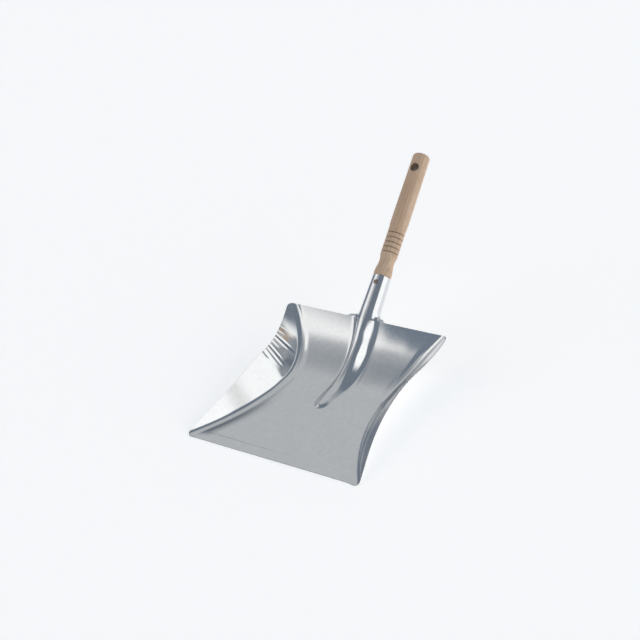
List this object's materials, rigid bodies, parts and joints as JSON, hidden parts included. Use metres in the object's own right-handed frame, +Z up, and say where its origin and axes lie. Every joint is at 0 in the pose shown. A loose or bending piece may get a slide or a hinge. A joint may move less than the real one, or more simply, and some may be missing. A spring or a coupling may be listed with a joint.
{
  "type": "grain scoop shovel",
  "caption": "Hand shovel with a wide pressed sheet-steel pan, folded side flaps, a central rib that becomes the rolled socket, and a turned wooden handle.",
  "frame": {"origin": "on the resting plane, under the middle of the whole object's box", "axes": "-Y towards the pan's mouth, +Y towards the handle's end, +X to the right seen from behind the handle, +Z up from the floor of the pan; X = 0 is the plane of symmetry"},
  "size_m": [0.229, 0.4234, 0.2149],
  "materials": {
    "sheet_steel": "bright zinc plating with a fine mottled grain, satin",
    "wood": "turned beech, thin clear varnish",
    "nail_steel": "bare steel, dulled"
  },
  "bodies": {
    "root": {"pan": "sheet_steel", "handle": "wood", "nail": "nail_steel"}
  },
  "joints": []
}
